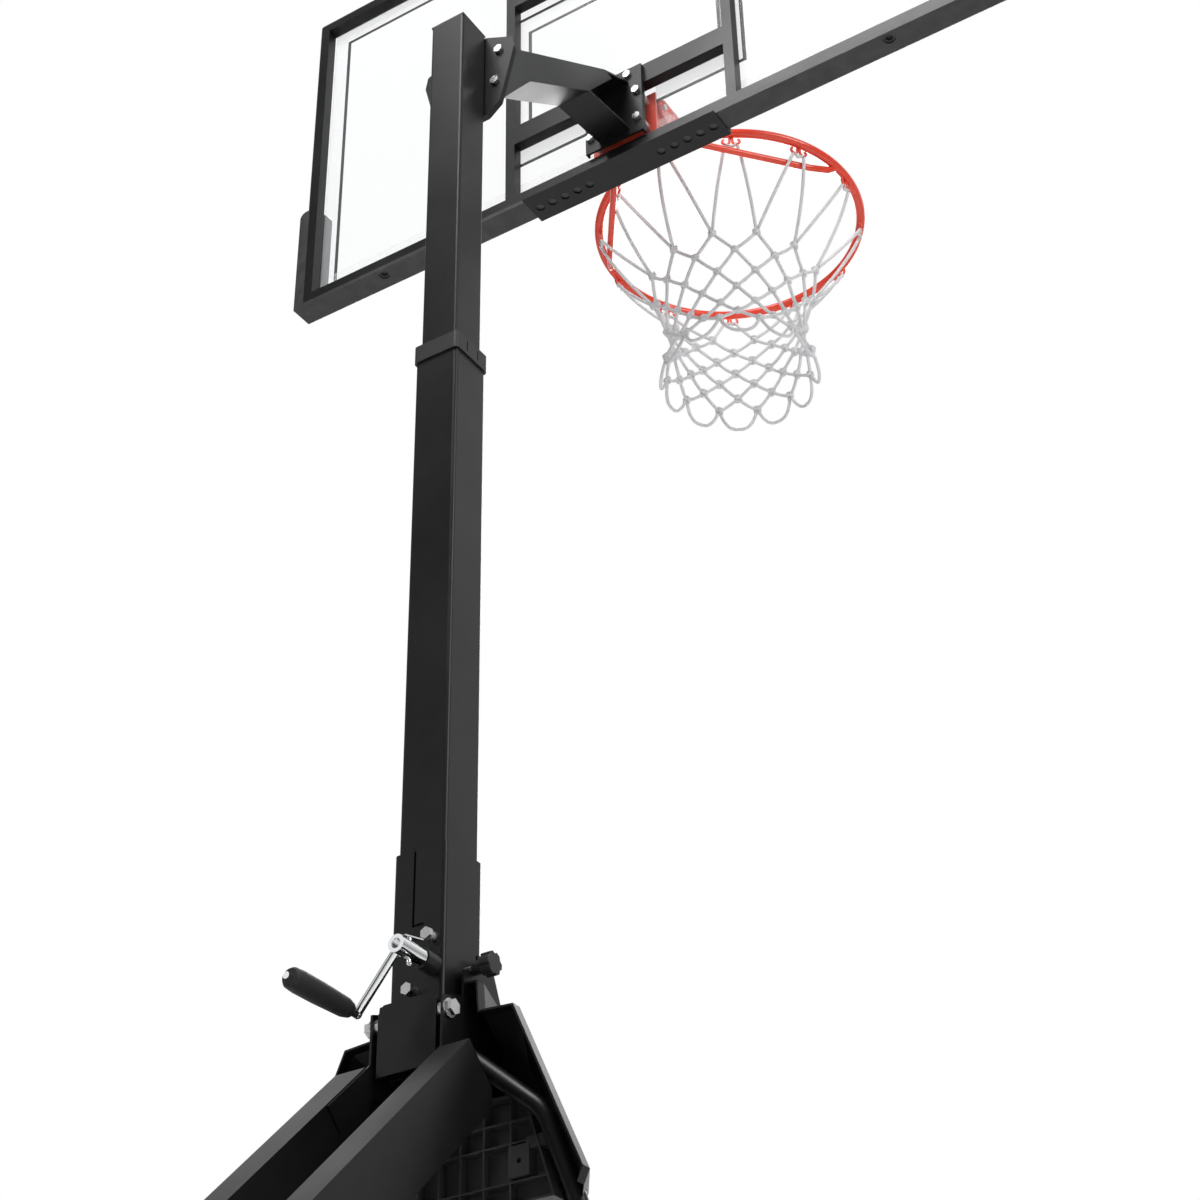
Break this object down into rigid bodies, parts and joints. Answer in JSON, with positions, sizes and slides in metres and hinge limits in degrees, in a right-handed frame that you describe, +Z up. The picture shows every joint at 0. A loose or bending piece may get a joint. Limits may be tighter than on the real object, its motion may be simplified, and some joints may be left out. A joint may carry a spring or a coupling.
{
  "type": "portable basketball hoop",
  "caption": "Portable basketball hoop with a clear backboard, red breakaway rim, crank-lifted telescoping pole and a wheeled ballast tank.",
  "frame": {"origin": "on the floor under the axis of the pole, at the centre of the object's footprint from above", "axes": "+Z up, -Y towards the court (the board faces it), +X to the right of somebody who stands on the court and looks at the board"},
  "size_m": [1.368, 2.166, 3.625],
  "materials": {
    "tank_plastic": "blow-moulded polyethylene, fine grain",
    "cap_plastic": "moulded",
    "black_steel": "satin black powder coat",
    "grey_plastic": "moulded polypropylene",
    "black_plastic": "moulded nylon",
    "grip_rubber": "matt rubber",
    "tyre_rubber": "solid tyre",
    "wheel_plastic": "moulded",
    "zinc": "bright zinc plate",
    "chrome": "polished chrome plate",
    "turned_steel": "turned, oiled",
    "bronze": "machined bronze",
    "acrylic": "clear cast acrylic with printed border",
    "pad_foam": "moulded polyurethane foam skin",
    "rim_red": "glossy red-orange powder coat",
    "spring_steel": "black oiled spring steel",
    "net_cord": "white braided nylon"
  },
  "bodies": {
    "base": {"ballast_tank": "tank_plastic", "front_beam": "black_steel", "pole_cradle": "black_steel", "cradle_shield": "black_steel", "leg_tubes": "black_steel", "front_panel": "grey_plastic", "rear_struts": "black_steel", "strut_feet": "black_steel", "strut_brace": "black_steel", "base_bolts": "zinc", "stop_pad": "grip_rubber", "pivot_bolt": "zinc", "pivot_hardware": "zinc"},
    "fill_plug": {"fill_cap": "cap_plastic"},
    "wheel_left": {"wheel_hub_left": "wheel_plastic", "wheel_tyre_left": "tyre_rubber"},
    "wheel_right": {"wheel_hub_right": "wheel_plastic", "wheel_tyre_right": "tyre_rubber"},
    "pole": {"pole_sleeve": "black_steel", "foot_wrap": "black_steel", "pole_lower_tube": "black_steel", "gearbox_housing": "black_plastic", "gearbox_bolts": "zinc", "crank_boss": "black_plastic", "thrust_bearing": "turned_steel", "pole_collar": "black_plastic", "lock_nut": "black_steel"},
    "lock": {"lock_bolt": "zinc", "lock_knob": "black_plastic"},
    "screw": {"lead_screw": "turned_steel", "screw_gear": "bronze"},
    "crank": {"crank_shaft": "chrome", "crank_handle": "chrome", "release_pin": "chrome"},
    "grip": {"crank_grip": "grip_rubber"},
    "upper": {"pole_upper_tube": "black_steel", "lift_nut": "bronze", "glide_pads": "black_plastic", "top_cap": "black_plastic", "clamp_plate": "black_steel", "extension_arm": "black_steel", "board_mount_plate": "black_steel", "arm_bolts": "zinc", "frame_rails": "black_steel", "frame_stiles": "black_steel", "frame_uprights": "black_steel", "frame_crossbars": "black_steel", "acrylic_panel": "acrylic", "edge_trim": "black_plastic", "board_pads": "pad_foam", "bottom_plate": "black_steel", "rim_bracket": "rim_red", "rim_bolts": "zinc", "rim_springs": "spring_steel"},
    "rim": {"hinge_pin": "zinc", "rim_plate": "rim_red", "rim_ring": "rim_red", "rim_braces": "rim_red", "net_hooks": "rim_red", "net": "net_cord"}
  },
  "joints": [
    {"name": "fold", "type": "hinge", "parent": "base", "child": "pole", "pos_m": [0, 0.041, 1.196], "axis": [-1, 0, 0], "range_deg": [0, 90]},
    {"name": "lift", "type": "slide", "parent": "pole", "child": "upper", "axis": [0, 0, 1], "range_m": [-0.432, 0]},
    {"name": "screw_spin", "type": "hinge", "parent": "pole", "child": "screw", "pos_m": [0, 0.014, 1.6], "axis": [0, 0, 1], "range_deg": [-0.1, 9720.1]},
    {"name": "crank_spin", "type": "hinge", "parent": "pole", "child": "crank", "pos_m": [-0.0225, 0.08, 1.255], "axis": [0, 1, 0], "range_deg": [-12960.1, 0.1]},
    {"name": "grip_spin", "type": "hinge", "parent": "crank", "child": "grip", "pos_m": [0.0315, 0.16, 1.189], "axis": [0, 1, 0], "continuous": true},
    {"name": "knob_spin", "type": "hinge", "parent": "pole", "child": "lock", "pos_m": [-0.06, -0.006, 1.26], "axis": [1, 0, 0], "continuous": true},
    {"name": "rim_breakaway", "type": "hinge", "parent": "upper", "child": "rim", "pos_m": [0, -0.497, 3.022], "axis": [1, 0, 0], "range_deg": [0, 30], "stiffness_Nm_per_rad": 300, "springref_deg": -40.11, "deforming": ["rim_springs"]},
    {"name": "wheel_left_spin", "type": "hinge", "parent": "base", "child": "wheel_left", "pos_m": [-0.444, -0.247, 0.054], "axis": [1, 0, 0], "continuous": true},
    {"name": "wheel_right_spin", "type": "hinge", "parent": "base", "child": "wheel_right", "pos_m": [0.444, -0.247, 0.054], "axis": [1, 0, 0], "continuous": true},
    {"name": "cap_lift", "type": "slide", "parent": "base", "child": "fill_plug", "axis": [0, 0, 1], "range_m": [0, 0.06]}
  ],
  "couplings": [
    {"joint": "screw_spin", "follows": "lift", "rad_per_m": -392.7},
    {"joint": "crank_spin", "follows": "lift", "rad_per_m": 523.6}
  ]
}
